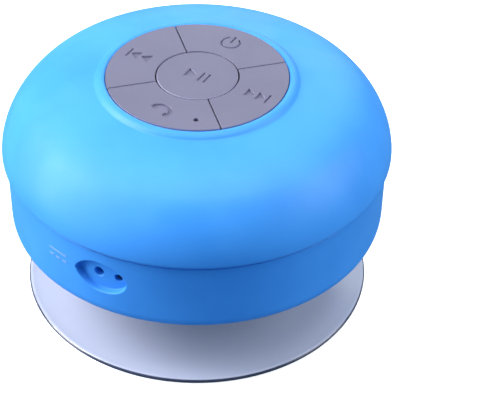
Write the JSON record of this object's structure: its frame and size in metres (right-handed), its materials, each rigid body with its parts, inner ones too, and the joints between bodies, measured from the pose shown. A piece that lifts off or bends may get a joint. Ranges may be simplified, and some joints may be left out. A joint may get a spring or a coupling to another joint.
{
  "type": "shower speaker",
  "caption": "Round waterproof shower speaker: domed shell with a five-key silicone keypad, a charging port in its side and a swivelling suction cup underneath.",
  "frame": {"origin": "on the centre line, in the plane of the suction cup's rim", "axes": "+Z from the suction cup up through the keypad, -Y towards the charging port, +Y towards the power key, which is the top of the key symbols"},
  "size_m": [0.086, 0.086, 0.0545],
  "materials": {
    "blue_shell": "soft-touch satin",
    "keypad_silicone": "matt silicone",
    "clear_cup": "glossy translucent vinyl",
    "grey_plastic": "fine moulded texture",
    "black_plastic": "satin",
    "black_rubber": "matt",
    "foam": "open foam",
    "mesh_cloth": "fine acoustic weave",
    "steel": "zinc plated",
    "dark_steel": "satin black coat",
    "ferrite": "dull sintered",
    "copper_wire": "enamelled winding",
    "cone_paper": "treated pulp",
    "circuit_board": "green solder mask",
    "battery_wrap": "foil pouch",
    "led_resin": "clear resin",
    "wire_red": "vinyl insulation"
  },
  "bodies": {
    "suction_cup": {"suction_cup": "clear_cup"},
    "cup_mount": {"cup_stud": "grey_plastic", "stud_clip": "steel", "swivel_washer": "black_plastic"},
    "housing": {"base_plate": "grey_plastic", "stud_seal": "black_rubber", "acoustic_membrane": "mesh_cloth", "lower_shell": "blue_shell", "upper_shell": "blue_shell", "seam_gasket": "black_rubber", "case_screw_1": "steel", "case_screw_2": "steel", "case_screw_3": "steel", "keypad_membrane": "keypad_silicone", "main_board": "circuit_board", "board_screw_1": "steel", "board_screw_2": "steel", "board_screw_3": "steel", "play_switch": "dark_steel", "power_switch": "dark_steel", "next_switch": "dark_steel", "previous_switch": "dark_steel", "phone_switch": "dark_steel", "radio_module": "circuit_board", "radio_shield": "steel", "amplifier_chip": "black_plastic", "microphone": "steel", "microphone_boot": "black_rubber", "battery": "battery_wrap", "battery_pad": "foam", "battery_plug": "led_resin", "battery_lead": "wire_red", "speaker_lead": "wire_red", "charge_board": "circuit_board", "charge_jack": "black_plastic", "charge_led": "led_resin", "charge_lead": "wire_red", "driver_frame": "dark_steel", "driver_gasket": "foam", "driver_magnet": "ferrite", "driver_yoke": "steel", "driver_top_plate": "steel", "driver_surround": "black_rubber", "driver_spider": "cone_paper", "driver_terminals": "circuit_board"},
    "driver_cone": {"driver_cone": "cone_paper", "driver_dust_cap": "cone_paper", "voice_coil": "copper_wire"},
    "play_key": {"play_key": "keypad_silicone"},
    "power_key": {"power_key": "keypad_silicone"},
    "next_key": {"next_key": "keypad_silicone"},
    "previous_key": {"previous_key": "keypad_silicone"},
    "phone_key": {"phone_key": "keypad_silicone"},
    "play_plunger": {"play_plunger": "black_plastic"},
    "power_plunger": {"power_plunger": "black_plastic"},
    "next_plunger": {"next_plunger": "black_plastic"},
    "previous_plunger": {"previous_plunger": "black_plastic"},
    "phone_plunger": {"phone_plunger": "black_plastic"}
  },
  "joints": [
    {"name": "cup_press", "type": "slide", "parent": "suction_cup", "child": "cup_mount", "axis": [0, 0, -1], "range_m": [0, 0.005], "stiffness_N_per_m": 4000, "springref_m": -0.0008, "deforming": ["suction_cup"]},
    {"name": "swivel", "type": "hinge", "parent": "cup_mount", "child": "housing", "pos_m": [0, 0, 0.0195], "axis": [0, 0, 1], "continuous": true},
    {"name": "play_press", "type": "slide", "parent": "housing", "child": "play_key", "axis": [0, 0, -1], "range_m": [0, 0.0006], "stiffness_N_per_m": 1500, "springref_m": -0.0002},
    {"name": "power_press", "type": "slide", "parent": "housing", "child": "power_key", "axis": [0, 0, -1], "range_m": [0, 0.0006], "stiffness_N_per_m": 1500, "springref_m": -0.0002},
    {"name": "next_press", "type": "slide", "parent": "housing", "child": "next_key", "axis": [0, 0, -1], "range_m": [0, 0.0006], "stiffness_N_per_m": 1500, "springref_m": -0.0002},
    {"name": "previous_press", "type": "slide", "parent": "housing", "child": "previous_key", "axis": [0, 0, -1], "range_m": [0, 0.0006], "stiffness_N_per_m": 1500, "springref_m": -0.0002},
    {"name": "phone_press", "type": "slide", "parent": "housing", "child": "phone_key", "axis": [0, 0, -1], "range_m": [0, 0.0006], "stiffness_N_per_m": 1500, "springref_m": -0.0002},
    {"name": "play_click", "type": "slide", "parent": "housing", "child": "play_plunger", "axis": [0, 0, -1], "range_m": [0, 0.00036]},
    {"name": "power_click", "type": "slide", "parent": "housing", "child": "power_plunger", "axis": [0, 0, -1], "range_m": [0, 0.00036]},
    {"name": "next_click", "type": "slide", "parent": "housing", "child": "next_plunger", "axis": [0, 0, -1], "range_m": [0, 0.00036]},
    {"name": "previous_click", "type": "slide", "parent": "housing", "child": "previous_plunger", "axis": [0, 0, -1], "range_m": [0, 0.00036]},
    {"name": "phone_click", "type": "slide", "parent": "housing", "child": "phone_plunger", "axis": [0, 0, -1], "range_m": [0, 0.00036]},
    {"name": "cone_travel", "type": "slide", "parent": "housing", "child": "driver_cone", "axis": [0, 0, 1], "range_m": [-0.001, 0.001], "stiffness_N_per_m": 900, "deforming": ["driver_surround", "driver_spider"]}
  ],
  "couplings": [
    {"joint": "play_click", "follows": "play_press", "ratio": 0.6},
    {"joint": "power_click", "follows": "power_press", "ratio": 0.6},
    {"joint": "next_click", "follows": "next_press", "ratio": 0.6},
    {"joint": "previous_click", "follows": "previous_press", "ratio": 0.6},
    {"joint": "phone_click", "follows": "phone_press", "ratio": 0.6}
  ]
}
